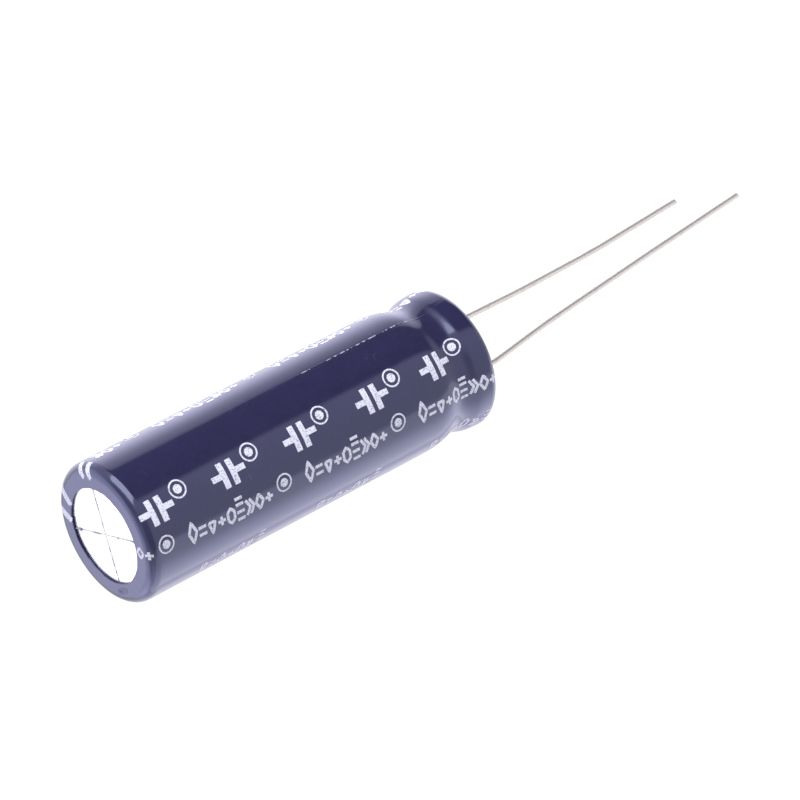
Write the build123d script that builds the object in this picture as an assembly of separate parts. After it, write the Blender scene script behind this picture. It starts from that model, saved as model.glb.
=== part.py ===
from build123d import *
import math
import os

# A radial-lead supercapacitor: a wound roll in a drawn aluminium can, sealed by a rubber bung and
# covered by a shrink sleeve. All sizes are in millimetres and all angles in degrees.
# The frame: the origin is on the seating plane, midway between the two leads. +Z runs up through the
# can to its closed end, and the leads leave downwards in the XZ plane, the positive one at -X.

# Can, drawn in one piece: flat closed end, straight wall, rolled bead and curled rim.
CAN_RADIUS = 5.0
CAN_LENGTH = 30.7
CAN_WALL = 0.3
TOP_CORNER = 0.65  # outer radius of the corner round the closed end
RIM_CORNER = 0.55  # outer radius of the curl at the open end
RIM_LIP = 0.4  # flat width of the curled rim, inwards from its curl
BEAD_HEIGHT = 3.0  # middle of the bead, above the seat
BEAD_DEPTH = 0.65
BEAD_ROLL = 1.0  # radius of the bead's hollow
BEAD_SHOULDER = 0.7  # radius of the shoulders above and below the hollow

# Vent score: a cross of V-shaped cuts in the closed end.
SCORE_ARM = 3.9  # length of each arm from the middle
SCORE_WIDTH = 0.16
SCORE_DEPTH = 0.1
SCORE_TURN = 25.0  # the cross's turn about Z, from the plane of the leads

# Shrink sleeve.
SLEEVE_WALL = 0.14
SLEEVE_GAP = 0.01
SLEEVE_TOP_LIP = 0.85  # flat width of the lip on the closed end, inwards from its corner
SLEEVE_RIM_LIP = 0.3  # flat width of the lip on the rim, inwards from its curl

# Rubber bung, squeezed by the bead.
BUNG_GAP = 0.01
BUNG_LENGTH = 5.2
BUNG_EDGE = 0.4  # chamfer round the inner end

# Leads and the welds that join them to the tabs.
LEAD_PITCH = 5.0
LEAD_RADIUS = 0.3
WELD_RADIUS = 0.6
WELD_LENGTH = 0.75

# Each lead's runs below the seat: (length, turn from straight down, towards +X).
POSITIVE_RUNS = [(1.9, 0.0), (5.6, 9.4), (11.5, 6.9), (10.1, 6.4)]
NEGATIVE_RUNS = [(1.9, 0.0), (6.8, -1.0), (7.2, 1.1), (8.9, 4.4)]
FIRST_BEND = 4.0  # bend radius where the wire leaves the straight stub
LATER_BEND = 60.0

# Tabs: a round boss through the bung and a flat paddle in the roll.
BOSS_RADIUS = 0.75
BOSS_ABOVE_BUNG = 0.4
HOLE_GAP = 0.01
PADDLE_THICKNESS = 0.25
PADDLE_WIDTH = 2.2
PADDLE_LENGTH = 17.0  # above the boss
BOSS_TAPER = 0.5

# Wound roll and the tape that closes it.
ROLL_ABOVE_BUNG = 1.2
ROLL_BELOW_TOP = 0.6
ROLL_GAP = 0.06  # between the tape and the can
ROLL_CORE = 0.6
SLOT_GAP = 0.02
TAPE_THICKNESS = 0.06
TAPE_WIDTH = 14.0

# Levels and radii that follow.
CAN_BOTTOM = SLEEVE_GAP + SLEEVE_WALL
CAN_TOP = CAN_BOTTOM + CAN_LENGTH
RIM_OPENING = CAN_RADIUS - RIM_CORNER - RIM_LIP
BUNG_BOTTOM = CAN_BOTTOM + CAN_WALL + BUNG_GAP
BUNG_TOP = BUNG_BOTTOM + BUNG_LENGTH
BOSS_BOTTOM = BUNG_BOTTOM + WELD_LENGTH
BOSS_TOP = BUNG_TOP + BOSS_ABOVE_BUNG
PADDLE_TOP = BOSS_TOP + PADDLE_LENGTH
ROLL_BOTTOM = BUNG_TOP + ROLL_ABOVE_BUNG
ROLL_TOP = CAN_TOP - CAN_WALL - ROLL_BELOW_TOP
TAPE_OUTER = CAN_RADIUS - CAN_WALL - ROLL_GAP
ROLL_RADIUS = TAPE_OUTER - TAPE_THICKNESS


def point(radius, height):
    """A point of a half section, at this radius from the Z axis and this height."""
    return Vector(radius, 0, height)


def arc(centre, radius, start, end):
    """An arc of a half section about centre, from one angle to another, in degrees from +X to +Z."""
    ends = [math.radians(angle) for angle in (start, (start + end) / 2, end)]
    points = [centre + Vector(math.cos(a), 0, math.sin(a)) * radius for a in ends]
    return ThreePointArc(*points)


def wall_edges(offset, top_radius, rim_radius):
    """The can's outer line in half section, moved outwards by offset, from top_radius on the closed end
    down the wall, over the bead and round the curl to rim_radius on the rim."""
    wall = CAN_RADIUS + offset
    corner = point(CAN_RADIUS - TOP_CORNER, CAN_TOP - TOP_CORNER)
    curl = point(CAN_RADIUS - RIM_CORNER, CAN_BOTTOM + RIM_CORNER)
    hollow = point(CAN_RADIUS - BEAD_DEPTH + BEAD_ROLL, BEAD_HEIGHT)
    reach = BEAD_ROLL + BEAD_SHOULDER
    lean = math.degrees(math.acos((reach - BEAD_DEPTH) / reach))
    rise = reach * math.sin(math.radians(lean))
    upper = point(CAN_RADIUS - BEAD_SHOULDER, BEAD_HEIGHT + rise)
    lower = point(CAN_RADIUS - BEAD_SHOULDER, BEAD_HEIGHT - rise)
    shoulder = BEAD_SHOULDER + offset
    return [
        Line(point(top_radius, CAN_TOP + offset), point(corner.X, CAN_TOP + offset)),
        arc(corner, TOP_CORNER + offset, 90, 0),
        Line(point(wall, corner.Z), point(wall, upper.Z)),
        arc(upper, shoulder, 0, -lean),
        arc(hollow, BEAD_ROLL - offset, 180 - lean, 180 + lean),
        arc(lower, shoulder, lean, 0),
        Line(point(wall, lower.Z), point(wall, curl.Z)),
        arc(curl, RIM_CORNER + offset, 0, -90),
        Line(point(curl.X, CAN_BOTTOM - offset), point(rim_radius, CAN_BOTTOM - offset)),
    ]


def skin(inner_offset, outer_offset, top_radius, rim_radius):
    """A skin of revolution between two lines parallel to the can's outer line."""
    outer = wall_edges(outer_offset, top_radius, rim_radius)
    inner = wall_edges(inner_offset, top_radius, rim_radius)
    top_end = Line(inner[0] @ 0, outer[0] @ 0)
    rim_end = Line(inner[-1] @ 1, outer[-1] @ 1)
    section = make_face(outer + inner + [top_end, rim_end])
    return revolve(section, Axis.Z)


def make_sleeve():
    top_opening = CAN_RADIUS - TOP_CORNER - SLEEVE_TOP_LIP
    rim_opening = CAN_RADIUS - RIM_CORNER - SLEEVE_RIM_LIP
    return skin(SLEEVE_GAP, SLEEVE_GAP + SLEEVE_WALL, top_opening, rim_opening)


def make_can():
    """The drawn shell, closed at the top, with the cross-shaped score cut into its end."""
    outer = wall_edges(0, 0, RIM_OPENING)
    inner = wall_edges(-CAN_WALL, 0, RIM_OPENING)
    rim_end = Line(inner[-1] @ 1, outer[-1] @ 1)
    axis_end = Line(inner[0] @ 0, outer[0] @ 0)
    shell = revolve(make_face(outer + inner + [rim_end, axis_end]), Axis.Z)
    cut = Plane.YZ.offset(-SCORE_ARM) * make_face(
        Polyline(
            (-SCORE_WIDTH / 2, CAN_TOP),
            (0, CAN_TOP - SCORE_DEPTH),
            (SCORE_WIDTH / 2, CAN_TOP),
            (0, CAN_TOP + SCORE_DEPTH),
            close=True,
        )
    )
    arm = extrude(cut, 2 * SCORE_ARM)
    return shell - Rot(0, 0, SCORE_TURN) * arm - Rot(0, 0, SCORE_TURN + 90) * arm


def make_bung():
    """The bung fills the can's open end, with a groove where the bead bites and a hole for each boss."""
    side = wall_edges(-(CAN_WALL + BUNG_GAP), 0, 0)[3:]
    radius = CAN_RADIUS - CAN_WALL - BUNG_GAP
    top_edge = [
        Line(point(0, BUNG_TOP), point(radius - BUNG_EDGE, BUNG_TOP)),
        Line(point(radius - BUNG_EDGE, BUNG_TOP), point(radius, BUNG_TOP - BUNG_EDGE)),
        Line(point(radius, BUNG_TOP - BUNG_EDGE), side[0] @ 0),
        Line(point(0, BUNG_BOTTOM), point(0, BUNG_TOP)),
    ]
    body = revolve(make_face(top_edge + side), Axis.Z)
    hole = extrude(
        Plane.XY.offset(BUNG_BOTTOM) * Circle(BOSS_RADIUS + HOLE_GAP),
        BUNG_LENGTH,
    )
    for place in (-LEAD_PITCH / 2, LEAD_PITCH / 2):
        body -= Pos(place, 0, 0) * hole
    return body


def make_tab(place):
    """An aluminium tab: a round boss through the bung, tapered at its top into a flat paddle."""
    boss = extrude(Plane.XY.offset(BOSS_BOTTOM) * Circle(BOSS_RADIUS), BOSS_TOP - BOSS_BOTTOM)
    taper = Pos(0, 0, BOSS_TOP + BOSS_TAPER / 2) * Cone(BOSS_RADIUS, BOSS_RADIUS / 2, BOSS_TAPER)
    paddle = Pos(0, 0, BOSS_TOP) * Box(
        PADDLE_THICKNESS,
        PADDLE_WIDTH,
        PADDLE_LENGTH,
        align=(Align.CENTER, Align.CENTER, Align.MIN),
    )
    return Pos(place, 0, 0) * (boss + taper + paddle)


def lead_route(place, runs):
    """The points of a lead's middle line, from the end of its weld down to its tip."""
    points = [point(place, BUNG_BOTTOM)]
    here = point(place, 0)
    for length, turn in runs:
        slope = math.radians(turn)
        here = here + Vector(math.sin(slope), 0, -math.cos(slope)) * length
        points.append(here)
    return points


def make_lead(place, runs):
    """A tinned wire: a weld cone inside the bung's hole, a straight stub, then gentle bends."""
    points = lead_route(place, runs)
    bends = [FIRST_BEND] + [LATER_BEND] * (len(points) - 3)
    route = FilletPolyline(*points, radius=bends)
    section = Plane(origin=points[0], z_dir=(0, 0, -1)) * Circle(LEAD_RADIUS)
    wire = sweep(section, path=route)
    straight = math.pi * LEAD_RADIUS**2 * route.length
    print("lead length", round(route.length, 2), "volume over section x length", round(wire.volume / straight, 4))
    weld = Pos(place, 0, BUNG_BOTTOM + WELD_LENGTH / 2) * Cone(LEAD_RADIUS, WELD_RADIUS, WELD_LENGTH)
    return wire + weld


def make_winding():
    """The whole roll of foils and separators, with its mandrel hole and the slots that the paddles fill."""
    ring = Circle(ROLL_RADIUS) - Circle(ROLL_CORE)
    roll = extrude(Plane.XY.offset(ROLL_BOTTOM) * ring, ROLL_TOP - ROLL_BOTTOM)
    slot = Pos(0, 0, ROLL_BOTTOM) * Box(
        PADDLE_THICKNESS + 2 * SLOT_GAP,
        PADDLE_WIDTH + 2 * SLOT_GAP,
        PADDLE_TOP + SLOT_GAP - ROLL_BOTTOM,
        align=(Align.CENTER, Align.CENTER, Align.MIN),
    )
    for place in (-LEAD_PITCH / 2, LEAD_PITCH / 2):
        roll -= Pos(place, 0, 0) * slot
    return roll


def make_tape():
    middle = (ROLL_BOTTOM + ROLL_TOP) / 2
    ring = Circle(TAPE_OUTER) - Circle(ROLL_RADIUS)
    return extrude(Plane.XY.offset(middle - TAPE_WIDTH / 2) * ring, TAPE_WIDTH)


pieces = {
    "sleeve": make_sleeve(),
    "can": make_can(),
    "rubber_bung": make_bung(),
    "winding": make_winding(),
    "winding_tape": make_tape(),
    "positive_tab": make_tab(-LEAD_PITCH / 2),
    "negative_tab": make_tab(LEAD_PITCH / 2),
    "positive_lead": make_lead(-LEAD_PITCH / 2, POSITIVE_RUNS),
    "negative_lead": make_lead(LEAD_PITCH / 2, NEGATIVE_RUNS),
}

os.makedirs("parts", exist_ok=True)
for name, piece in pieces.items():
    export_step(piece, f"parts/{name}.step")
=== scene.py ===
"""Looks of a radial-lead supercapacitor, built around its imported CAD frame.

The sleeve, its print and the two wires are new surfaces worked out with numpy; the can, bung, roll,
tape and tabs are the frame's own nodes with better materials. Lengths are in metres.
"""

import math

import bpy
import numpy as np
from mathutils import Matrix, Vector


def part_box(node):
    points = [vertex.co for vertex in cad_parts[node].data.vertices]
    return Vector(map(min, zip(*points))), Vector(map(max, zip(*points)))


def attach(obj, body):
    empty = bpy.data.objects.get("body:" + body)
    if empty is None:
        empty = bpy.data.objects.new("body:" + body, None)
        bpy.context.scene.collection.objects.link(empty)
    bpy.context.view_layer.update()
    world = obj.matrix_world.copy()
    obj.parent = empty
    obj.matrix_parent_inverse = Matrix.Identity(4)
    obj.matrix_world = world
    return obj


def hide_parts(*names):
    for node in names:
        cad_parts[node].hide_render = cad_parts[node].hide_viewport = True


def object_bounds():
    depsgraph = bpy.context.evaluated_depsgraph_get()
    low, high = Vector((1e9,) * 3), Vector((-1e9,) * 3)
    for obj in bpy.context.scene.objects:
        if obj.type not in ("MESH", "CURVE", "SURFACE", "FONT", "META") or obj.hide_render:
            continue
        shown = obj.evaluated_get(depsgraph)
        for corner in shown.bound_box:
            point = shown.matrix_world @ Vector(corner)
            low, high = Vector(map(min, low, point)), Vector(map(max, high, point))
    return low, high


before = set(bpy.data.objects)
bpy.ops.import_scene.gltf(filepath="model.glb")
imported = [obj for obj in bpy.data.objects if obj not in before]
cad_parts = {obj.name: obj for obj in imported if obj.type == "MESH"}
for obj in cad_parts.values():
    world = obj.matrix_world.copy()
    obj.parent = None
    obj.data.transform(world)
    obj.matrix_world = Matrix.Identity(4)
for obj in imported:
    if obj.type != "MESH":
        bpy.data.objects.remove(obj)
CAD_LOW, CAD_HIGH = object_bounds()

MM = 0.001

# Sizes that the looks share with the construction.
SLEEVE_LOW, SLEEVE_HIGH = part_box("sleeve")
CAN_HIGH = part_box("can")[1]
SEAT = SLEEVE_LOW.z
TOP = SLEEVE_HIGH.z
OUTER_RADIUS = SLEEVE_HIGH.x
CAN_RADIUS = CAN_HIGH.x
BUNG_FACE = SEAT + 0.46 * MM
FILM_OFFSET = OUTER_RADIUS - CAN_RADIUS
FILM_THICKNESS = 0.14 * MM
TOP_CORNER = 0.65 * MM
TOP_LIP = 0.85 * MM
RIM_CORNER = 0.55 * MM
RIM_LIP = 0.3 * MM
BEAD_HEIGHT = 3.0 * MM
BEAD_DEPTH = 0.65 * MM
BEAD_ROLL = 1.0 * MM
BEAD_SHOULDER = 0.7 * MM
LEAD_PITCH = 5.0 * MM
LEAD_RADIUS = 0.3 * MM
WELD_RADIUS = 0.6 * MM
WELD_LENGTH = 0.75 * MM
POSITIVE_RUNS = [(1.9, 0.0), (5.6, 9.4), (11.5, 6.9), (10.1, 6.4)]
NEGATIVE_RUNS = [(1.9, 0.0), (6.8, -1.0), (7.2, 1.1), (8.9, 4.4)]
FIRST_BEND = 4.0 * MM
LATER_BEND = 60.0 * MM

# Angles round the can, in degrees from the negative lead at +X towards +Y.
CREASES = (272.4, 92.4)
MARK_ANGLE = 120.0
# The height below which the folds stand fully proud.
CREASE_CHANGE = 14.0 * MM


# ---------------------------------------------------------------- camera

LOOK_AZIMUTH = 48.0
LOOK_ELEVATION = -32.01
ROLL = -117.626
DISTANCE = 360.15 * MM
AIM = Vector((0.643, 2.374, 4.010)) * MM
LENS_MM = 231.7
SENSOR_MM = 36.0


def direction(azimuth, elevation):
    """The unit vector at an azimuth and an elevation in degrees."""
    a, e = math.radians(azimuth), math.radians(elevation)
    return Vector((math.cos(e) * math.cos(a), math.cos(e) * math.sin(a), math.sin(e)))


def make_camera():
    """A long lens that looks down on the closed end, rolled so that the can lies across the picture."""
    roll = math.radians(ROLL)
    ahead = direction(LOOK_AZIMUTH, LOOK_ELEVATION)
    level = ahead.cross(Vector((0, 0, 1))).normalized()
    above = level.cross(ahead)
    right = level * math.cos(roll) + above * math.sin(roll)
    up = above * math.cos(roll) - level * math.sin(roll)
    data = bpy.data.cameras.new("camera")
    data.sensor_width = SENSOR_MM
    data.lens = LENS_MM
    data.clip_start = 0.01
    data.clip_end = 20.0
    camera = bpy.data.objects.new("camera", data)
    turn = Matrix((right, up, -ahead)).transposed().to_4x4()
    camera.matrix_world = Matrix.Translation(AIM - ahead * DISTANCE) @ turn
    bpy.context.scene.collection.objects.link(camera)
    bpy.context.scene.camera = camera


make_camera()


# ---------------------------------------------------------------- meshes

def grid_mesh(points, close_rows=False, close_columns=False, caps=False):
    """A mesh from points[row, column, xyz]; rows or columns may close on themselves, and caps close the
    first and last row of a tube with a fan each. The order of rows and columns decides which side is
    outside."""
    rows, columns = points.shape[:2]
    index = np.arange(rows * columns).reshape(rows, columns)
    down = np.arange(rows if close_rows else rows - 1)
    across = np.arange(columns if close_columns else columns - 1)
    r, c = np.meshgrid(down, across, indexing="ij")
    r2 = (r + 1) % rows
    c2 = (c + 1) % columns
    quads = np.stack([index[r, c], index[r, c2], index[r2, c2], index[r2, c]], axis=-1).reshape(-1, 4)
    vertices = points.reshape(-1, 3)
    faces = [tuple(q) for q in quads.tolist()]
    if caps:
        ends = np.stack([points[0].mean(0), points[-1].mean(0)])
        vertices = np.concatenate([vertices, ends])
        first, last = rows * columns, rows * columns + 1
        ring = np.arange(columns)
        turned = (ring + 1) % columns
        start_fan = np.stack([index[0, turned], index[0, ring], np.full(columns, first)], 1)
        end_fan = np.stack([index[-1, ring], index[-1, turned], np.full(columns, last)], 1)
        faces += [tuple(f) for f in np.concatenate([start_fan, end_fan]).tolist()]
    return vertices, faces


def lengths_along(points):
    """The distance along a line of points from its first point to each one."""
    return np.concatenate([[0.0], np.cumsum(np.linalg.norm(np.diff(points, axis=0), axis=1))])


def interpolated(places, length, points):
    """The points of a line at some distances along it, one column for each coordinate."""
    return np.stack([np.interp(places, length, column) for column in points.T], axis=1)


def make_object(name, parts, material, smooth=True):
    """One object from several (vertices, faces) parts, riding on the root body."""
    offset = 0
    vertices, faces = [], []
    for part_vertices, part_faces in parts:
        vertices.append(part_vertices)
        faces += [tuple(i + offset for i in f) for f in part_faces]
        offset += len(part_vertices)
    mesh = bpy.data.meshes.new(name)
    mesh.from_pydata(np.concatenate(vertices).tolist(), [], faces)
    mesh.polygons.foreach_set("use_smooth", np.full(len(faces), smooth))
    mesh.materials.append(material)
    mesh.validate()
    mesh.update()
    piece = bpy.data.objects.new(name, mesh)
    bpy.context.scene.collection.objects.link(piece)
    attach(piece, "root")
    return piece


# ---------------------------------------------------------------- film surface

def arc_points(centre_r, centre_z, radius, start, end, count):
    """Points of an arc in half section; its angles are in degrees from outwards to upwards."""
    a = np.radians(np.linspace(start, end, count))
    return np.stack([centre_r + radius * np.cos(a), centre_z + radius * np.sin(a)], axis=1)


def film_line():
    """The film's outer line in half section, from the lip on the closed end to the lip on the rim: two
    flats, two corner arcs, the straight wall, and the bead's hollow between two shoulder arcs."""
    top_edge = CAN_RADIUS - TOP_CORNER - TOP_LIP
    rim_edge = CAN_RADIUS - RIM_CORNER - RIM_LIP
    corner = TOP_CORNER + FILM_OFFSET
    curl = RIM_CORNER + FILM_OFFSET
    shoulder = BEAD_SHOULDER + FILM_OFFSET
    reach = BEAD_ROLL + BEAD_SHOULDER
    lean = math.degrees(math.acos((reach - BEAD_DEPTH) / reach))
    rise = reach * math.sin(math.radians(lean))
    hollow = CAN_RADIUS - BEAD_DEPTH + BEAD_ROLL
    return np.concatenate([
        np.stack([np.linspace(top_edge, OUTER_RADIUS - corner, 12), np.full(12, TOP)], 1),
        arc_points(OUTER_RADIUS - corner, TOP - corner, corner, 90, 0, 24)[1:],
        np.stack([np.full(70, OUTER_RADIUS), np.linspace(TOP - corner, BEAD_HEIGHT + rise, 71)[1:]], 1),
        arc_points(OUTER_RADIUS - shoulder, BEAD_HEIGHT + rise, shoulder, 0, -lean, 12)[1:],
        arc_points(hollow, BEAD_HEIGHT, BEAD_ROLL - FILM_OFFSET, 180 - lean, 180 + lean, 22)[1:],
        arc_points(OUTER_RADIUS - shoulder, BEAD_HEIGHT - rise, shoulder, lean, 0, 12)[1:],
        np.stack([np.full(4, OUTER_RADIUS), np.linspace(BEAD_HEIGHT - rise, SEAT + curl, 5)[1:]], 1),
        arc_points(OUTER_RADIUS - curl, SEAT + curl, curl, 0, -90, 18)[1:],
        np.stack([np.linspace(OUTER_RADIUS - curl, rim_edge, 6)[1:], np.full(5, SEAT)], 1),
    ])


# How far along the film its stiffness evens it out, and the middle and half size of the band of heights
# round the bead where it does.
SOFT_REACH = 0.8 * MM
SOFT_MIDDLE = 3.4 * MM
SOFT_HALF = 2.2 * MM


def softened(line):
    """The same line with the film's own stiffness: near the bead each point moves to the mean of its
    neighbours, weighted by a bell curve of their distance, so that the film rounds off the hollow."""
    along = lengths_along(line)
    dense = np.linspace(0, along[-1], 2400)
    even = interpolated(dense, along, line)
    bell = np.exp(-(((along[:, None] - dense[None]) / SOFT_REACH) ** 2) / 2)
    mean = bell @ even / bell.sum(1)[:, None]
    near = np.exp(-(((line[:, 1] - SOFT_MIDDLE) / SOFT_HALF) ** 4))[:, None]
    return line * (1 - near) + mean * near


LINE = softened(film_line())
ALONG = lengths_along(LINE)
FILM_LENGTH = ALONG[-1]
TANGENT = np.gradient(LINE, ALONG, axis=0)
TANGENT /= np.linalg.norm(TANGENT, axis=1)[:, None]
WALL_START = TOP_LIP + math.pi / 2 * (TOP_CORNER + FILM_OFFSET)
WALL_TOP = TOP - TOP_CORNER - FILM_OFFSET


def along_at(height):
    """How far along the film's line a height on the straight wall lies."""
    return WALL_START + WALL_TOP - height


def angle_from(angle, line):
    """The signed angle from a line round the can, in degrees, from -180 to 180."""
    return (angle - line + 180.0) % 360.0 - 180.0


def relief(along, angle):
    """How far the film stands off its even shape: a slow waviness, shallow gathers where the film turns
    in at the bead and both ends, one pressed mark on the top lip, and along each fold that the flat tube
    had a fine ridge in a shallow dip, which is fainter above CREASE_CHANGE."""
    turn = np.radians(angle)
    wave = 0.004 * np.sin(2 * turn + 900 * along) * np.sin(260 * along + 1.3)
    wave += 0.003 * np.sin(5 * turn + 1.1) * np.sin(410 * along)
    ends = np.exp(-((along - 0.9 * MM) / (0.9 * MM)) ** 2)
    ends += np.exp(-((FILM_LENGTH - along - 0.7 * MM) / (0.8 * MM)) ** 2)
    gathers = 0.002 * ends * np.sin(23 * turn + 2 * np.sin(3 * turn)) * np.sin(7 * turn + 0.5)
    bead = np.exp(-((along - along_at(BEAD_HEIGHT)) / (1.2 * MM)) ** 2)
    gathers += 0.01 * bead * np.sin(9 * turn + 1.5 * np.sin(4 * turn))
    across = (angle_from(angle, MARK_ANGLE) / 6.5) ** 4
    pressed = -0.11 * np.exp(-across - ((along - 0.56 * MM) / (0.16 * MM)) ** 2)
    ridge = 0.0
    for line in CREASES:
        off = angle_from(angle, line)
        lower = 0.15 + 0.85 / (1 + np.exp((along_at(CREASE_CHANGE) - along) / (0.5 * MM)))
        crest = 0.006 + 0.003 * np.sin(1900 * along + line) * np.sin(700 * along)
        dip = 0.003 * np.exp(-((off / 2.6) ** 2))
        ridge = ridge + lower * (crest * np.exp(-((off / 0.6) ** 2)) - dip)
    return (wave + gathers + ridge + pressed) * MM


def film_point(along, angle, lift):
    """Points of the film's outer face for arrays of along and angle, raised by lift along its normal."""
    radius = np.interp(along, ALONG, LINE[:, 0])
    height = np.interp(along, ALONG, LINE[:, 1])
    step_r = np.interp(along, ALONG, TANGENT[:, 0])
    step_z = np.interp(along, ALONG, TANGENT[:, 1])
    size = np.hypot(step_r, step_z)
    raised = lift + relief(along, angle)
    radius = radius - step_z / size * raised
    height = height + step_r / size * raised
    turn = np.radians(angle)
    return np.stack([radius * np.cos(turn), radius * np.sin(turn), height], axis=-1)


def film_angles():
    """Even angles round the can, with closer ones at each crease."""
    even = np.linspace(0, 360, 340, endpoint=False)
    close = [np.arange(line - 3.0, line + 3.01, 0.3) for line in CREASES]
    return np.unique(np.round(np.concatenate([even, *close]) % 360.0, 4))


def make_sleeve(material):
    """The film as one closed skin: its outer face from lip to lip, then its inner face back, a film's
    thickness inside. The cut edges wander a little, as a knife leaves them."""
    angles = film_angles()
    turn = np.radians(angles)
    wander_top = 0.03 * np.sin(3 * turn + 0.4) + 0.018 * np.sin(11 * turn) + 0.01 * np.sin(29 * turn + 2)
    wander_rim = 0.04 * np.sin(2 * turn + 1.9) + 0.02 * np.sin(13 * turn + 1)

    def face(along, lift):
        near_top = np.exp(-along / (0.4 * MM))[:, None]
        near_rim = np.exp(-(FILM_LENGTH - along) / (0.3 * MM))[:, None]
        shifted = along[:, None] + (near_top * wander_top - near_rim * wander_rim) * MM
        spread = np.broadcast_to(angles[None], shifted.shape)
        return film_point(np.clip(shifted, 0, FILM_LENGTH), spread, lift)

    points = np.concatenate([face(ALONG, 0.0), face(ALONG[::-4], -FILM_THICKNESS)])
    part = grid_mesh(points[::-1], close_rows=True, close_columns=True)
    return make_object("sleeve_film", [part], material)


# ---------------------------------------------------------------- print

INK_LIFT = 0.012 * MM
INK_SINK = 0.03 * MM
INK_STEP_MM = 0.14
# Millimetres round the film for each degree.
ROUND_MM = OUTER_RADIUS / MM * math.pi / 180


def outward(part):
    """The same closed part with its faces turned outwards, which the sign of their volume tells."""
    vertices, faces = part
    corners = np.array([f[:3] for f in faces] + [(f[0], f[2], f[3]) for f in faces if len(f) == 4])
    a, b, c = (vertices[corners[:, i]] - vertices.mean(0) for i in range(3))
    if np.einsum("ij,ij->i", a, np.cross(b, c)).sum() < 0:
        faces = [tuple(reversed(f)) for f in faces]
    return vertices, faces


def resampled(path, step):
    """A path's points at even steps of its own length."""
    path = np.asarray(path, float)
    length = lengths_along(path)
    places = np.linspace(0, length[-1], max(3, int(math.ceil(length[-1] / step)) + 1))
    return interpolated(places, length, path)


def ink_stroke(path, width, along, angle, closed=False):
    """A printed line wrapped on the film: the path, in millimetres along and round the can from its
    starting place, is widened to both sides and given a thin section that bends with the film. A wide
    line gets more columns across, so that it follows the film's corners."""
    path = resampled(path, INK_STEP_MM)
    if closed:
        path = path[:-1]
        tangent = np.roll(path, -1, axis=0) - np.roll(path, 1, axis=0)
    else:
        tangent = np.gradient(path, axis=0)
    tangent /= np.linalg.norm(tangent, axis=1)[:, None]
    side = np.stack([-tangent[:, 1], tangent[:, 0]], axis=1) * width / 2
    steps = np.linspace(1, -1, 6 if width > 0.4 else 3)
    top = [(path + side * f, INK_LIFT) for f in steps]
    edges = [(path + side, -INK_SINK), *top, (path - side, -INK_SINK)]
    section = [film_point(along + e[:, 0] * MM, angle + e[:, 1] / ROUND_MM, lift) for e, lift in edges]
    points = np.stack(section, axis=1)
    return outward(grid_mesh(points, close_rows=closed, close_columns=True, caps=not closed))


def ring_path(x, y, radius):
    """A full turn about a middle."""
    a = np.linspace(0, 2 * math.pi, 25)
    return np.stack([x + radius * np.cos(a), y + radius * np.sin(a)], axis=1)


def sided_path(width, height, sides, first):
    """A closed outline of equal sides set in a box; first is the turn of its first corner in degrees."""
    a = np.radians(first + np.linspace(0, 360, sides + 1))
    return np.stack([width / 2 * (1 + np.cos(a)), height / 2 * (1 + np.sin(a))], axis=1)


# The count of sides and the turn of the first corner, for the closed shapes.
CLOSED_SHAPES = {"lozenge": (4, 0), "wedge": (3, -90), "cell": (6, 90)}
# Where the level bars lie, as shares of the height.
BAR_SHAPES = {"rungs": (0.0, 0.36, 0.72, 1.0), "pair": (0.3, 0.8)}


def shape_strokes(kind, width, height):
    """The strokes of one plain printed shape, as (path, is closed) pairs."""
    middle = height / 2
    half = width / 2
    if kind in CLOSED_SHAPES:
        return [(sided_path(width, height, *CLOSED_SHAPES[kind]), True)]
    if kind == "plus":
        level = [[0, middle], [width, middle]]
        upright = [[half, middle - half], [half, middle + half]]
        return [(level, False), (upright, False)]
    if kind == "arrows":
        first = [[0, height], [half, middle], [0, 0]]
        second = [[half, height], [width, middle], [half, 0]]
        return [(first, False), (second, False)]
    return [([[0, height * p], [width, height * p]], False) for p in BAR_SHAPES[kind]]


def slanted(path, slope):
    """A path whose top leans along the row."""
    path = np.asarray(path, float)
    return path + np.stack([path[:, 1] * slope, np.zeros(len(path))], axis=1)


def printed_shape(kind, height, along, angle, width, stroke, slope=0.0):
    """One plain shape of a row, in strokes of one width, on the row's foot line."""
    return [
        ink_stroke(slanted(path, slope), stroke, along, angle, closed)
        for path, closed in shape_strokes(kind, width, height)
    ]


# The kind and height of each shape, one for each step of a row. Lengths here are in millimetres and
# angles in degrees; a row's start is the height on the can of its first shape's edge.
BIG_ROW = [
    ("lozenge", 1.5), ("pair", 1.05), ("wedge", 1.1), ("plus", 1.1), ("cell", 1.1), ("rungs", 1.5),
    ("arrows", 1.1), ("lozenge", 1.1), ("plus", 1.05),
]
SMALL_ROW = [
    ("wedge", 1.4), ("pair", 1.0), ("lozenge", 1.1), ("plus", 1.0), ("cell", 1.1), ("arrows", 1.0),
    ("rungs", 1.4),
]
ROW_STEP = 0.82
BIG_WIDTH = 0.64
SMALL_WIDTH = 0.52
SMALL_STROKE = 0.2
SMALL_SLOPE = 0.2
BIG_REPEAT = 10.2
SMALL_REPEAT = 10.3
# Each big row's angle, first start, stroke, and how much of the top lip it leaves bare.
BIG_ROWS = ((189.5, 37.9, 0.215, 0.1), (297.0, 34.6, 0.28, 2.1), (52.0, 28.6, 0.2, 2.1))
# Each small row's angle and first start.
SMALL_ROWS = ((149.0, 26.7), (100.0, 24.0))
SIGN_ANGLE = 216.0
SIGN_HEIGHTS = (30.8, 24.65, 18.4, 11.95, 6.15)
BOW_ANGLE = 290.0
STRIPE_ANGLES = (-15.0, 6.0)
DASH_ANGLE = -4.5
DASH_HEIGHTS = (27.2, 21.6, 16.0, 10.4)


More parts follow.
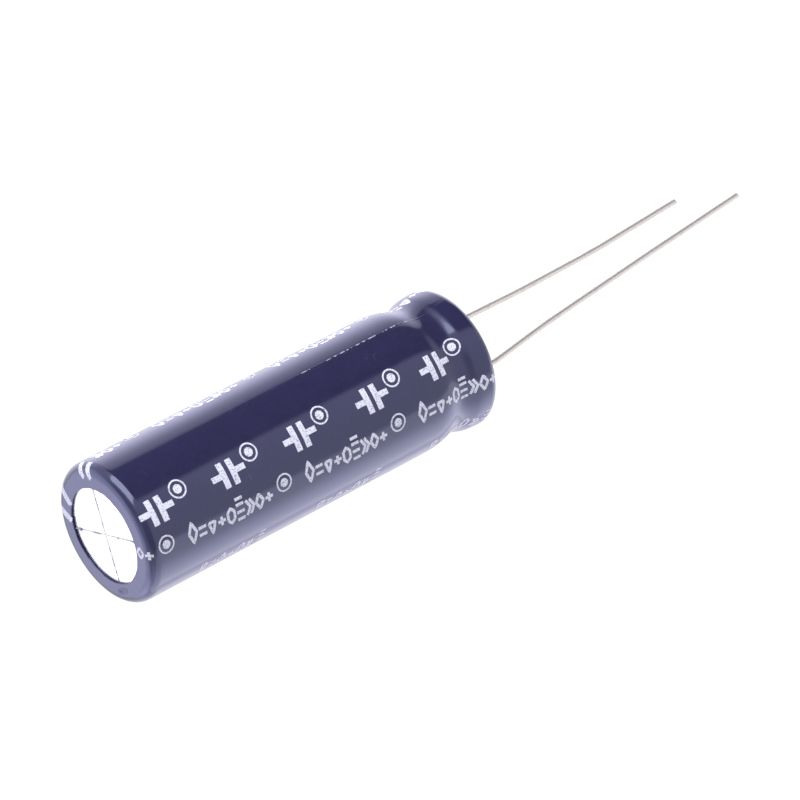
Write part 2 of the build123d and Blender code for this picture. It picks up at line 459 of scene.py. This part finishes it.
def plate_mark(along, angle):
    """The two-plate drawing sign: a short line, two upright plates and a short line, in bold strokes."""
    strokes = [
        ([[0.0, 0.95], [0.95, 0.95]], 0.42),
        ([[1.0, 0.02], [1.0, 1.86]], 0.46),
        ([[1.8, 0.02], [1.8, 1.86]], 0.46),
        ([[1.85, 0.95], [2.8, 0.95]], 0.42),
    ]
    return [ink_stroke(path, width, along, angle) for path, width in strokes]


def small_ring(x, y, radius, along, angle):
    """A thin ring round a dot."""
    return [
        ink_stroke(ring_path(x, y, radius), 0.12, along, angle, closed=True),
        ink_stroke(ring_path(x, y, radius * 0.3), radius * 0.5, along, angle, closed=True),
    ]


def polarity_stripe():
    """Two bold lines down the negative side, bent over the top lip, with dashes between them."""
    parts = []
    length = FILM_LENGTH / MM
    for angle in STRIPE_ANGLES:
        path = [[0.06, 0.85], [0.85, 0.3], [1.6, 0.0], [length - 0.15, 0.0]]
        parts.append(ink_stroke(path, 0.62, 0.0, angle))
    for height in DASH_HEIGHTS:
        parts.append(ink_stroke([[0.0, 0.0], [2.2, 0.0]], 0.3, along_at(height * MM), DASH_ANGLE))
    return parts


def big_row(angle, start, stroke, lip_gap):
    """One run of large shapes and a ring, leaving out what would pass either end of the film."""
    parts = []
    for number, (kind, tall) in enumerate(BIG_ROW):
        place = start + number * ROW_STEP * MM
        if lip_gap * MM <= place <= FILM_LENGTH - 0.9 * MM:
            parts += printed_shape(kind, tall, place, angle, BIG_WIDTH, stroke)
    if lip_gap * MM < start + 7.7 * MM < FILM_LENGTH - 1.2 * MM:
        parts += small_ring(8.3, 0.95, 0.6, start, angle)
    return parts


def small_row(angle, start):
    """One run of small slanted shapes, leaving out what would pass the rim."""
    parts = []
    for number, (kind, tall) in enumerate(SMALL_ROW):
        place = start + number * ROW_STEP * MM
        if place < FILM_LENGTH - 1.0 * MM:
            parts += printed_shape(kind, tall, place, angle, SMALL_WIDTH, SMALL_STROKE, SMALL_SLOPE)
    return parts


def lip_bows():
    """Two short bold bows side by side, over the corner of the closed end."""
    bend = np.linspace(0, 1, 12)
    along = 0.75 + 1.2 * bend
    rise = 0.55 * bend + 0.12 * np.sin(math.pi * bend)
    bows = [np.stack([along, offset + rise], axis=1) for offset in (0.0, 0.95)]
    return [ink_stroke(bow, 0.46, 0.0, BOW_ANGLE) for bow in bows]


def make_print(material):
    """All the print: plate signs with rings, large rows, small slanted rows, lip bows and the stripe."""
    parts = []
    for height in SIGN_HEIGHTS:
        start = along_at(height * MM)
        parts += plate_mark(start, SIGN_ANGLE)
        parts += small_ring(3.55, 1.6, 0.62, start, SIGN_ANGLE)
    for angle, first, stroke, lip_gap in BIG_ROWS:
        for number in range(4):
            parts += big_row(angle, along_at((first - BIG_REPEAT * number) * MM), stroke, lip_gap)
    for angle, first in SMALL_ROWS:
        for number in range(3):
            parts += small_row(angle, along_at((first - SMALL_REPEAT * number) * MM))
    parts += lip_bows()
    parts += polarity_stripe()
    return make_object("sleeve_print", parts, material, smooth=False)


# ---------------------------------------------------------------- wires

def bent_line(place, runs):
    """A lead's middle line from the weld down: straight runs joined by round bends. Each bend starts as
    far before its corner as its radius times the tangent of half the turn."""
    corners = [np.array([place, 0.0, BUNG_FACE])]
    here = np.array([place, 0.0, 0.0])
    for length, turn in runs:
        slope = math.radians(turn)
        here = here + np.array([math.sin(slope), 0.0, -math.cos(slope)]) * length * MM
        corners.append(here)
    radii = [FIRST_BEND] + [LATER_BEND] * (len(corners) - 3)
    pieces = [corners[0][None]]
    for before, corner, after, radius in zip(corners, corners[1:], corners[2:], radii):
        ahead = (corner - before) / np.linalg.norm(corner - before)
        away = (after - corner) / np.linalg.norm(after - corner)
        turn = math.acos(min(1.0, float(ahead @ away)))
        inwards = away - ahead * float(ahead @ away)
        inwards /= np.linalg.norm(inwards)
        a = np.linspace(0, turn, 9)[:, None]
        start = corner - ahead * radius * math.tan(turn / 2)
        pieces.append(start + radius * np.sin(a) * ahead + radius * (1 - np.cos(a)) * inwards)
    pieces.append(corners[-1][None])
    return np.concatenate(pieces)


def make_wire(name, place, runs, material, phase):
    """A drawn wire about its middle line: a weld cone at the top, a round section that varies slowly by
    six thousandths of its size, and a slightly slanted, pinched cut at the tip."""
    line = bent_line(place, runs)
    length = lengths_along(line)
    total = length[-1]
    close = total - np.linspace(0.3, 0, 9) * MM
    places = np.unique(np.concatenate([np.linspace(0, close[0], 150), close]))
    line = interpolated(places, length, line)
    tangent = np.gradient(line, places, axis=0)
    tangent /= np.linalg.norm(tangent, axis=1)[:, None]
    wide = np.array([0.0, 1.0, 0.0])
    deep = np.cross(tangent, wide)
    a = np.linspace(0, 2 * math.pi, 28, endpoint=False) + phase
    uneven = 1 - 0.006 * (1 + np.sin(places * 900 + phase)) * 0.5
    near_tip = np.clip(1 - (total - places) / (0.09 * MM), 0, 1)
    radius = LEAD_RADIUS * uneven * (1 - 0.2 * near_tip**2)
    ring = np.cos(a)[None, :, None] * deep[:, None] + np.sin(a)[None, :, None] * wide
    body = line[:, None] + radius[:, None, None] * ring
    slant = 0.1 * MM * (1 + np.cos(a - 0.7)) / 2
    shear = np.clip(1 - (total - places) / (0.25 * MM), 0, 1)
    body = body - tangent[:, None] * shear[:, None, None] * slant[None, :, None]
    rise = np.linspace(WELD_LENGTH, 0.04 * MM, 9)
    cone = LEAD_RADIUS + (WELD_RADIUS - LEAD_RADIUS) * (rise / WELD_LENGTH) ** 1.2
    top = line[0] + np.stack([np.zeros(9), np.zeros(9), rise], axis=1)
    crown = top[:, None] + cone[:, None, None] * ring[:1]
    tube = outward(grid_mesh(np.concatenate([crown, body]), close_columns=True, caps=True))
    return make_object(name, [tube], material)


# ---------------------------------------------------------------- shader helpers

BUMP_SIZE = 0.01 * MM


class Nodes:
    """Short ways to add nodes to one tree; a number or colour sets a socket, a socket links to it."""

    def __init__(self, tree):
        self.tree = tree

    def put(self, kind, settings=None, **inputs):
        node = self.tree.nodes.new(kind)
        for name, value in (settings or {}).items():
            setattr(node, name, value)
        for name, value in inputs.items():
            key = int(name[1:]) if name[0] == "_" else name.replace("_", " ")
            self.feed(node.inputs[key], value)
        return node

    def feed(self, socket, value):
        if isinstance(value, bpy.types.NodeSocket):
            self.tree.links.new(value, socket)
        else:
            socket.default_value = value

    def math(self, operation, *values):
        inputs = {f"_{i}": value for i, value in enumerate(values)}
        return self.put("ShaderNodeMath", {"operation": operation}, **inputs).outputs[0]

    def between(self, value, low, high, to_low=0.0, to_high=1.0):
        settings = {"interpolation_type": "SMOOTHSTEP"}
        inputs = {"Value": value, "From_Min": low, "From_Max": high, "To_Min": to_low, "To_Max": to_high}
        return self.put("ShaderNodeMapRange", settings, **inputs).outputs[0]

    def blend(self, factor, first, second):
        node = self.put("ShaderNodeMix", {"data_type": "RGBA"})
        self.feed(node.inputs[0], factor)
        self.feed(node.inputs[6], first)
        self.feed(node.inputs[7], second)
        return node.outputs[2]

    def noise(self, vector, scale, detail, rough):
        inputs = {"Vector": vector, "Scale": scale, "Detail": detail, "Roughness": rough}
        return self.put("ShaderNodeTexNoise", **inputs).outputs[0]

    def stretched(self, vector, size):
        return self.put("ShaderNodeMapping", Vector=vector, Scale=size).outputs[0]

    def scaled(self, value, factor, offset):
        return self.math("ADD", self.math("MULTIPLY", value, factor), offset)

    def product(self, *values):
        whole = values[0]
        for value in values[1:]:
            whole = self.math("MULTIPLY", whole, value)
        return whole

    def apart(self, vector):
        return self.put("ShaderNodeSeparateXYZ", Vector=vector).outputs

    def spun(self, vector, degrees):
        settings = {"rotation_type": "Z_AXIS"}
        angle = math.radians(degrees)
        return self.put("ShaderNodeVectorRotate", settings, Vector=vector, Angle=angle).outputs[0]

    def bump(self, height, strength, under=None):
        node = self.put("ShaderNodeBump", Strength=strength, Distance=BUMP_SIZE, Height=height)
        if under is not None:
            self.feed(node.inputs["Normal"], under)
        return node.outputs[0]


def new_group(name, inputs, outputs):
    """An empty shader node group with its sockets: the tree, its helper, input node and output node."""
    tree = bpy.data.node_groups.new(name, "ShaderNodeTree")
    for socket, kind, value in inputs:
        made = tree.interface.new_socket(socket, in_out="INPUT", socket_type=kind)
        if value is not None:
            made.default_value = value
    for socket, kind in outputs:
        tree.interface.new_socket(socket, in_out="OUTPUT", socket_type=kind)
    n = Nodes(tree)
    return tree, n, n.put("NodeGroupInput"), n.put("NodeGroupOutput")


def make_grain_group():
    """Even fine grain: two sizes of noise, added, as a mask from 0 to 1 and a normal."""
    tree, n, start, end = new_group(
        "fine_grain",
        [
            ("Vector", "NodeSocketVector", None),
            ("Scale", "NodeSocketFloat", 1000.0),
            ("Depth", "NodeSocketFloat", 0.2),
        ],
        [("Mask", "NodeSocketFloat"), ("Normal", "NodeSocketVector")],
    )
    coarse = n.noise(start.outputs["Vector"], start.outputs["Scale"], 4.0, 0.6)
    fine_scale = n.math("MULTIPLY", start.outputs["Scale"], 4.3)
    fine = n.noise(start.outputs["Vector"], fine_scale, 2.0, 0.5)
    mixed = n.math("ADD", n.math("MULTIPLY", coarse, 0.65), n.math("MULTIPLY", fine, 0.35))
    n.feed(end.inputs["Mask"], n.between(mixed, 0.3, 0.7))
    bump = n.put("ShaderNodeBump", Strength=start.outputs["Depth"], Distance=2 * BUMP_SIZE, Height=mixed)
    n.feed(end.inputs["Normal"], bump.outputs[0])
    return tree


def make_scuff_group():
    """Sparse handling marks: thin lines where a bent wave crosses a narrow band, broken up by noise."""
    tree, n, start, end = new_group(
        "handling_marks",
        [
            ("Vector", "NodeSocketVector", None),
            ("Scale", "NodeSocketFloat", 300.0),
            ("Amount", "NodeSocketFloat", 0.5),
        ],
        [("Mask", "NodeSocketFloat"), ("Height", "NodeSocketFloat")],
    )
    bent = n.noise(start.outputs["Vector"], start.outputs["Scale"], 2.0, 0.4)
    line = n.math("ABSOLUTE", n.math("SUBTRACT", bent, 0.5))
    thin = n.between(line, 0.008, 0.0)
    patch = n.noise(start.outputs["Vector"], n.math("MULTIPLY", start.outputs["Scale"], 1.7), 2.0, 0.5)
    broken = n.math("MULTIPLY", thin, n.between(patch, 0.55, 0.68))
    mask = n.math("MULTIPLY", broken, start.outputs["Amount"])
    n.feed(end.inputs["Mask"], mask)
    n.feed(end.inputs["Height"], n.math("MULTIPLY", mask, -1.0))
    return tree


GRAIN = make_grain_group()
SCUFFS = make_scuff_group()


def new_material(name):
    """A material with its Principled shader, helper, and Object coordinates."""
    material = bpy.data.materials.new(name)
    material.use_nodes = True
    tree = material.node_tree
    tree.nodes.clear()
    n = Nodes(tree)
    shader = n.put("ShaderNodeBsdfPrincipled")
    n.put("ShaderNodeOutputMaterial", Surface=shader.outputs[0])
    place = n.put("ShaderNodeTexCoord").outputs["Object"]
    return material, n, shader, place


def use_group(n, tree, **inputs):
    return n.put("ShaderNodeGroup", {"node_tree": tree}, **inputs)


def painted_fold_glints(n, place):
    """Painted highlights as tiny pale specks along the fold lines between the bead and half height: noise
    kept close to the upright plane that holds both folds."""
    x, y, z = n.apart(place)
    turn = math.radians(CREASES[0])
    off = n.math("ADD", n.math("MULTIPLY", x, -math.sin(turn)), n.math("MULTIPLY", y, math.cos(turn)))
    narrow = n.between(n.math("ABSOLUTE", off), 0.055 * MM, 0.02 * MM)
    under = n.product(n.between(z, 14.2 * MM, 13.2 * MM), n.between(z, 3.5 * MM, 4.6 * MM))
    specks = n.between(n.noise(place, 4200.0, 1.0, 0.5), 0.5, 0.6)
    return n.product(narrow, under, specks)


def film_material():
    """Dark blue-violet shrink film: glossy, with a slow change of tone, fine handling marks, and painted
    highlights as pale specks along the folds.
    """
    material, n, shader, place = new_material("violet_film")
    grain = use_group(n, GRAIN, Vector=place, Scale=900.0, Depth=0.05)
    marks = use_group(n, SCUFFS, Vector=place, Scale=420.0, Amount=0.28)
    tone = n.blend(grain.outputs["Mask"], (0.0235, 0.0216, 0.066, 1), (0.0272, 0.0250, 0.0755, 1))
    colour = n.blend(marks.outputs["Mask"], tone, (0.075, 0.072, 0.14, 1))
    # The pale specks along the folds are painted highlights.
    n.feed(shader.inputs["Base Color"], n.blend(painted_fold_glints(n, place), colour, (0.5, 0.5, 0.66, 1)))
    rough = n.scaled(grain.outputs["Mask"], 0.03, 0.11)
    n.feed(shader.inputs["Roughness"], n.scaled(marks.outputs["Mask"], 0.2, rough))
    n.feed(shader.inputs["Normal"], grain.outputs["Normal"])
    shader.inputs["IOR"].default_value = 1.72
    shader.inputs["Specular Tint"].default_value = (0.66, 0.72, 1.0, 1)
    return material


def ink_material():
    """Pale ink, thin enough for the film to show in specks."""
    material, n, shader, place = new_material("pale_ink")
    grain = use_group(n, GRAIN, Vector=place, Scale=3800.0, Depth=0.3)
    specks = n.between(n.noise(place, 9000.0, 2.0, 0.6), 0.36, 0.47)
    colour = n.blend(specks, (0.34, 0.34, 0.48, 1), (0.74, 0.74, 0.90, 1))
    n.feed(shader.inputs["Base Color"], colour)
    n.feed(shader.inputs["Roughness"], n.scaled(grain.outputs["Mask"], 0.1, 0.38))
    n.feed(shader.inputs["Normal"], grain.outputs["Normal"])
    return material


def aluminium_material(name, tone, rough, scale, marks_amount):
    """Drawn aluminium: slight cloudiness in tone and gloss, fine grain and handling marks."""
    material, n, shader, place = new_material(name)
    grain = use_group(n, GRAIN, Vector=place, Scale=scale, Depth=0.12)
    marks = use_group(n, SCUFFS, Vector=place, Scale=650.0, Amount=marks_amount)
    low = tuple(0.88 * c for c in tone) + (1,)
    colour = n.blend(grain.outputs["Mask"], low, tuple(tone) + (1,))
    dulled = n.blend(marks.outputs["Mask"], colour, tuple(0.5 * c for c in tone) + (1,))
    n.feed(shader.inputs["Base Color"], dulled)
    n.feed(shader.inputs["Roughness"], n.scaled(grain.outputs["Mask"], 0.08, rough))
    n.feed(shader.inputs["Normal"], n.bump(marks.outputs["Height"], 0.4, grain.outputs["Normal"]))
    shader.inputs["Metallic"].default_value = 1.0
    return material


# The turn of the vent's score about the can, in degrees, and the heights between which the painted shade
# in the score fades in.
SCORE_TURN = 25.0
END_FACE = (TOP - 0.6 * MM, TOP - 0.4 * MM)


def painted_score_shade(n, place):
    """Painted shade in the vent's cross score and a painted shade spot beside one arm: two bands at right
    angles about the middle, bent and broken by noise, kept to the closed end's face."""
    spun = n.spun(place, -SCORE_TURN)
    x, y, z = n.apart(spun)
    sway = n.math("MULTIPLY", n.math("SUBTRACT", n.noise(place, 900.0, 2.0, 0.5), 0.5), 0.0005)
    broken = n.between(n.noise(place, 1300.0, 3.0, 0.6), 0.46, 0.6)
    mask = 0.0
    for across, out in ((y, x), (x, y)):
        off = n.math("ABSOLUTE", n.math("ADD", across, sway))
        band = n.between(off, 0.1 * MM, 0.03 * MM)
        clear = n.between(n.math("ABSOLUTE", out), 0.5 * MM, 0.9 * MM)
        mask = n.math("MAXIMUM", n.product(band, clear, broken), mask)
    # A darker spot on one arm of the score: painted shade.
    spot = (2.98 * MM, 0.02 * MM, TOP - 0.15 * MM)
    away = n.put("ShaderNodeVectorMath", {"operation": "DISTANCE"}, _0=spun, _1=spot)
    dark = n.between(away.outputs["Value"], 0.3 * MM, 0.08 * MM)
    whole = n.math("MAXIMUM", n.math("MULTIPLY", mask, 0.75), dark)
    return n.math("MULTIPLY", whole, n.between(z, *END_FACE))


def can_material():
    """Drawn aluminium with a satin skin: faint cloudiness, handling marks, painted shade in and beside
    the vent score, and a matt pale metal inside the score, where the punch sheared it."""
    material, n, shader, place = new_material("drawn_can")
    grain = use_group(n, GRAIN, Vector=place, Scale=700.0, Depth=0.12)
    marks = use_group(n, SCUFFS, Vector=place, Scale=520.0, Amount=0.9)
    colour = n.blend(grain.outputs["Mask"], (0.66, 0.66, 0.68, 1), (0.74, 0.74, 0.765, 1))
    # Handling wear, and painted shade in the vent score, both darken the metal.
    wear_and_shade = n.math("MAXIMUM", marks.outputs["Mask"], painted_score_shade(n, place))
    height = n.apart(place)[2]
    below_face = n.between(height, CAN_HIGH.z - 0.004 * MM, CAN_HIGH.z - 0.02 * MM)
    deep = n.math("MULTIPLY", below_face, n.between(height, TOP - 0.6 * MM, TOP - 0.5 * MM))
    scored = n.blend(deep, colour, (0.86, 0.85, 0.88, 1))
    n.feed(shader.inputs["Base Color"], n.blend(wear_and_shade, scored, (0.20, 0.195, 0.20, 1)))
    n.feed(shader.inputs["Metallic"], n.math("SUBTRACT", 1.0, n.math("MULTIPLY", deep, 0.85)))
    n.feed(shader.inputs["Roughness"], n.scaled(grain.outputs["Mask"], 0.08, 0.28))
    n.feed(shader.inputs["Normal"], n.bump(marks.outputs["Height"], 0.4, grain.outputs["Normal"]))
    return material


def tinned_material():
    """Tin-coated wire: long faint die lines, a soft gloss and small grey spots."""
    material, n, shader, place = new_material("tinned_wire")
    drawn = n.stretched(place, (1.0, 1.0, 0.04))
    lines = n.noise(drawn, 9000.0, 2.0, 0.5)
    spots = n.between(n.noise(place, 1500.0, 3.0, 0.6), 0.56, 0.68)
    bright = n.blend(lines, (0.72, 0.685, 0.65, 1), (0.80, 0.77, 0.74, 1))
    n.feed(shader.inputs["Base Color"], n.blend(spots, bright, (0.66, 0.635, 0.61, 1)))
    n.feed(shader.inputs["Roughness"], n.scaled(spots, 0.06, 0.36))
    n.feed(shader.inputs["Normal"], n.bump(lines, 0.08))
    shader.inputs["Metallic"].default_value = 0.74
    return material


def rubber_material():
    """Black butyl rubber: matt, with a moulded grain and a light bloom in patches."""
    material, n, shader, place = new_material("butyl_rubber")
    grain = use_group(n, GRAIN, Vector=place, Scale=2600.0, Depth=0.5)
    bloom = n.between(n.noise(place, 420.0, 3.0, 0.6), 0.5, 0.75)
    tone = n.blend(grain.outputs["Mask"], (0.016, 0.016, 0.017, 1), (0.028, 0.028, 0.029, 1))
    n.feed(shader.inputs["Base Color"], n.blend(bloom, tone, (0.048, 0.047, 0.045, 1)))
    n.feed(shader.inputs["Roughness"], n.scaled(bloom, 0.15, 0.62))
    n.feed(shader.inputs["Normal"], grain.outputs["Normal"])
    return material


# The thickness of one turn of the roll: one foil, its carbon and one paper.
LAYER_PITCH = 0.28 * MM


def winding_material():
    """The roll's edge: thin foil lines and pale separators between black carbon layers, wound as a
    spiral. The layer number is the radius over the layer pitch, plus the share of a turn."""
    material, n, shader, place = new_material("wound_foils")
    x, y, _ = n.apart(place)
    radius = n.math("SQRT", n.math("ADD", n.math("MULTIPLY", x, x), n.math("MULTIPLY", y, y)))
    turn = n.math("DIVIDE", n.math("ARCTAN2", y, x), 2 * math.pi)
    layer = n.math("FRACT", n.math("ADD", n.math("DIVIDE", radius, LAYER_PITCH), turn))
    foil = n.math("MULTIPLY", n.between(layer, 0.04, 0.08), n.between(layer, 0.16, 0.12))
    paper = n.math("MULTIPLY", n.between(layer, 0.5, 0.54), n.between(layer, 0.72, 0.68))
    grain = use_group(n, GRAIN, Vector=place, Scale=3000.0, Depth=0.4)
    carbon = n.blend(grain.outputs["Mask"], (0.010, 0.010, 0.011, 1), (0.022, 0.022, 0.024, 1))
    with_paper = n.blend(paper, carbon, (0.62, 0.60, 0.55, 1))
    n.feed(shader.inputs["Base Color"], n.blend(foil, with_paper, (0.72, 0.73, 0.75, 1)))
    n.feed(shader.inputs["Metallic"], n.math("MULTIPLY", foil, 0.9))
    n.feed(shader.inputs["Roughness"], n.math("SUBTRACT", 0.85, n.math("MULTIPLY", foil, 0.5)))
    n.feed(shader.inputs["Normal"], grain.outputs["Normal"])
    return material


def tape_material():
    """Amber film tape with faint lengthwise streaks."""
    material, n, shader, place = new_material("amber_tape")
    streaks = n.noise(n.stretched(place, (0.15, 0.15, 1.0)), 5000.0, 2.0, 0.5)
    n.feed(shader.inputs["Base Color"], n.blend(streaks, (0.42, 0.20, 0.035, 1), (0.56, 0.29, 0.06, 1)))
    n.feed(shader.inputs["Roughness"], n.scaled(streaks, 0.12, 0.28))
    n.feed(shader.inputs["Normal"], n.bump(streaks, 0.2))
    return material


def dress(node, material):
    """Gives a CAD node its finish."""
    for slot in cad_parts[node].material_slots:
        slot.material = material


tin = tinned_material()
tab_metal = aluminium_material("tab_aluminium", (0.86, 0.86, 0.87), 0.34, 1800.0, 0.3)
dress("can", can_material())
dress("rubber_bung", rubber_material())
dress("winding", winding_material())
dress("winding_tape", tape_material())
dress("positive_tab", tab_metal)
dress("negative_tab", tab_metal)

film = film_material()
sleeve = make_sleeve(film)
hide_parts("sleeve")
rows = make_print(ink_material())
long_wire = make_wire("long_wire", -LEAD_PITCH / 2, POSITIVE_RUNS, tin, 0.3)
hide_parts("positive_lead")
short_wire = make_wire("short_wire", LEAD_PITCH / 2, NEGATIVE_RUNS, tin, 1.7)
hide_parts("negative_lead")


# ---------------------------------------------------------------- stage and light

FLOOR_RADIUS = 1.4
FLOOR_DROP = 120 * MM
FLOOR_SIDES = 96


def make_floor():
    """A wide pale disc well under the wire tips. The camera sees it near white from above and not at all
    from below, glossy rays pass it by, and the other rays find it matt."""
    a = np.linspace(0, 2 * math.pi, FLOOR_SIDES, endpoint=False)
    low = np.full(FLOOR_SIDES, CAD_LOW.z - FLOOR_DROP)
    rim = np.stack([FLOOR_RADIUS * np.cos(a), FLOOR_RADIUS * np.sin(a), low], axis=1)
    mesh = bpy.data.meshes.new("floor")
    mesh.from_pydata(rim.tolist(), [], [tuple(range(FLOOR_SIDES))])
    floor = bpy.data.objects.new("floor", mesh)
    bpy.context.scene.collection.objects.link(floor)
    material = bpy.data.materials.new("pale_floor")
    material.use_nodes = True
    tree = material.node_tree
    tree.nodes.clear()
    n = Nodes(tree)
    matt = n.put("ShaderNodeBsdfDiffuse", Color=(0.8, 0.8, 0.8, 1)).outputs[0]
    shown = n.put("ShaderNodeBsdfDiffuse", Color=(0.2, 0.2, 0.2, 1)).outputs[0]
    glow = n.put("ShaderNodeEmission", Color=(1, 1, 1, 1), Strength=0.88).outputs[0]
    bright = n.put("ShaderNodeAddShader", _0=glow, _1=shown).outputs[0]
    clear = n.put("ShaderNodeBsdfTransparent").outputs[0]
    back = n.put("ShaderNodeNewGeometry").outputs["Backfacing"]
    seen = n.put("ShaderNodeLightPath").outputs["Is Camera Ray"]
    sides = n.put("ShaderNodeMixShader", _0=back, _1=bright, _2=clear).outputs[0]
    whole = n.put("ShaderNodeMixShader", _0=seen, _1=matt, _2=sides).outputs[0]
    n.put("ShaderNodeOutputMaterial", Surface=whole)
    mesh.materials.append(material)
    floor.visible_glossy = False


def studio_panel(n, way, height, azimuth, half_width, edge, low, high, rim):
    """A soft panel round the object, as a mask over directions: 1 within half_width of its azimuth and
    between two elevations, fading over its edges. All angles are in degrees."""
    x, y, _ = n.apart(n.spun(way, -azimuth))
    off = n.math("ABSOLUTE", n.math("ARCTAN2", y, x))
    wide = n.between(off, math.radians(half_width + edge), math.radians(half_width - edge))
    over = n.between(height, math.radians(low - rim), math.radians(low + rim))
    under = n.between(height, math.radians(high + rim), math.radians(high - rim))
    return n.product(wide, over, under)


# Each panel's azimuth, half width, soft edge, low and high elevation and soft rim, all in degrees, then
# what a bright panel adds to the white and to its blue, or the share that an opening takes away.
BRIGHT_PANELS = (
    (137, 37, 3, -75, 20, 8, 0.95, 1.0),
    (105, 35, 14, -75, 42, 8, 0.7, 1.05),
    (2, 23, 18, -75, 12, 8, 1.05, 1.4),
    (42, 58, 16, 20, 76, 8, 1.2, 1.75),
)
DARK_OPENINGS = (
    (-74, 33, 4, -62, -4, 5, 0.97),
    (-165, 30, 12, 2, 62, 8, 0.65),
    (-80, 60, 15, 52, 80, 6, 0.5),
)
MATT_LEVEL = 0.62
GREEN_SHARE = 0.975


def make_world():
    """A white surround for the view; a plain level for matt surfaces; and for gloss, white with brighter
    panels, one of them over the closed end, and darker openings, one of them nearly black."""
    world = bpy.data.worlds.new("white_room")
    bpy.context.scene.world = world
    world.use_nodes = True
    tree = world.node_tree
    tree.nodes.clear()
    n = Nodes(tree)
    way = n.put("ShaderNodeTexCoord").outputs["Generated"]
    height = n.math("ARCSINE", n.apart(way)[2])
    level = 1.0
    blue = 1.0
    for *panel, gain, blue_gain in BRIGHT_PANELS:
        mask = studio_panel(n, way, height, *panel)
        level = n.math("ADD", level, n.math("MULTIPLY", mask, gain))
        blue = n.math("ADD", blue, n.math("MULTIPLY", mask, blue_gain))
    open_part = 1.0
    for *panel, share in DARK_OPENINGS:
        mask = studio_panel(n, way, height, *panel)
        kept = n.math("SUBTRACT", 1.0, n.math("MULTIPLY", mask, share))
        open_part = n.math("MULTIPLY", kept, open_part)
    level = n.math("MULTIPLY", level, open_part)
    blue = n.math("MULTIPLY", blue, open_part)
    path = n.put("ShaderNodeLightPath")
    mirror = n.math("MAXIMUM", path.outputs["Is Glossy Ray"], path.outputs["Is Transmission Ray"])
    green = n.math("MULTIPLY", level, GREEN_SHARE)
    glossy = n.put("ShaderNodeCombineColor", Red=level, Green=green, Blue=blue).outputs[0]
    unseen = n.blend(mirror, (MATT_LEVEL, MATT_LEVEL, MATT_LEVEL, 1), glossy)
    colour = n.blend(path.outputs["Is Camera Ray"], unseen, (1, 1, 1, 1))
    back = n.put("ShaderNodeBackground", Color=colour, Strength=1.0)
    n.put("ShaderNodeOutputWorld", Surface=back.outputs[0])


def make_lamp(name, azimuth, elevation, distance, wide, tall, radiance):
    """A soft rectangular lamp aimed at the middle of the can; its power is pi times area and radiance."""
    data = bpy.data.lights.new(name, "AREA")
    data.shape = "RECTANGLE"
    data.size = wide
    data.size_y = tall
    data.energy = math.pi * wide * tall * radiance
    lamp = bpy.data.objects.new(name, data)
    away = direction(azimuth, elevation)
    lamp.location = Vector((0, 0, TOP / 2)) + away * distance
    lamp.rotation_euler = away.to_track_quat("Z", "Y").to_euler()
    lamp.visible_camera = False
    bpy.context.scene.collection.objects.link(lamp)


make_floor()
make_world()
make_lamp("window_lamp", azimuth=-80, elevation=21, distance=0.5, wide=0.45, tall=0.4, radiance=4.2)

bpy.context.scene.view_settings.view_transform = "Standard"
